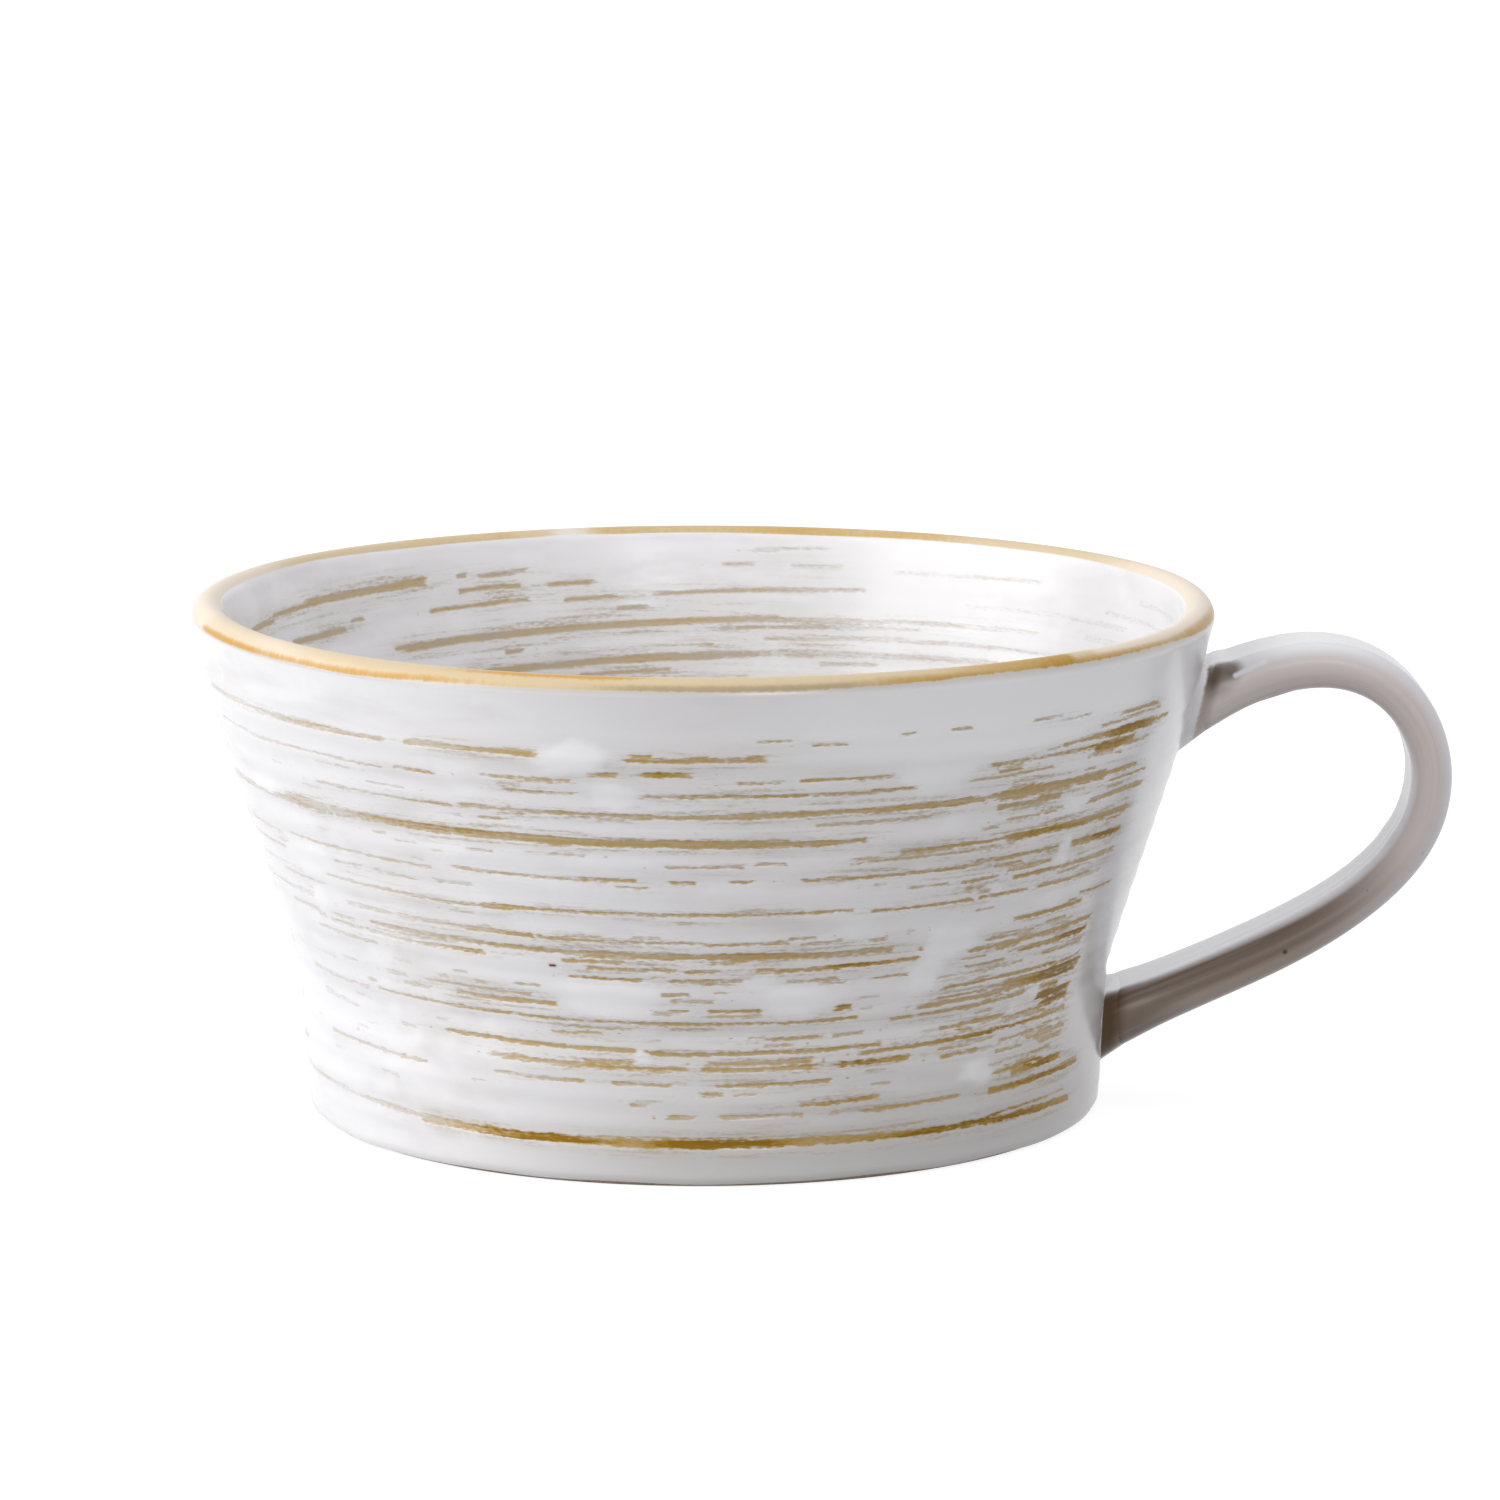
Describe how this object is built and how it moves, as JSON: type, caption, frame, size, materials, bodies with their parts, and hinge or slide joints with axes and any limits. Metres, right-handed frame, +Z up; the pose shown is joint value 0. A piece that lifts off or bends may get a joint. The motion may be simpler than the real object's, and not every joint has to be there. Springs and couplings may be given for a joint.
{
  "type": "tea cup",
  "caption": "Wide flared stoneware tea cup with a strap handle, white glaze brushed over ochre in broken rings, and an ochre lip.",
  "frame": {"origin": "centre of the foot ring, on the plane of the table", "axes": "+Z up along the bowl's axis, +X from the bowl towards the handle"},
  "size_m": [0.1296, 0.105, 0.053],
  "materials": {
    "bare_stoneware": "unglazed, fine grained",
    "joining_slip": "smooth fired slip",
    "brushed_white_glaze": "glossy, brushed white over ochre",
    "ochre_rim_glaze": "glossy, mottled ochre",
    "grey_handle_glaze": "glossy, thin and greyish over the clay"
  },
  "bodies": {
    "root": {"cup_body": "bare_stoneware", "handle": "bare_stoneware", "upper_slip_joint": "joining_slip", "lower_slip_joint": "joining_slip", "outer_glaze": "brushed_white_glaze", "inner_glaze": "brushed_white_glaze", "rim_glaze": "ochre_rim_glaze", "handle_glaze": "grey_handle_glaze"}
  },
  "joints": []
}
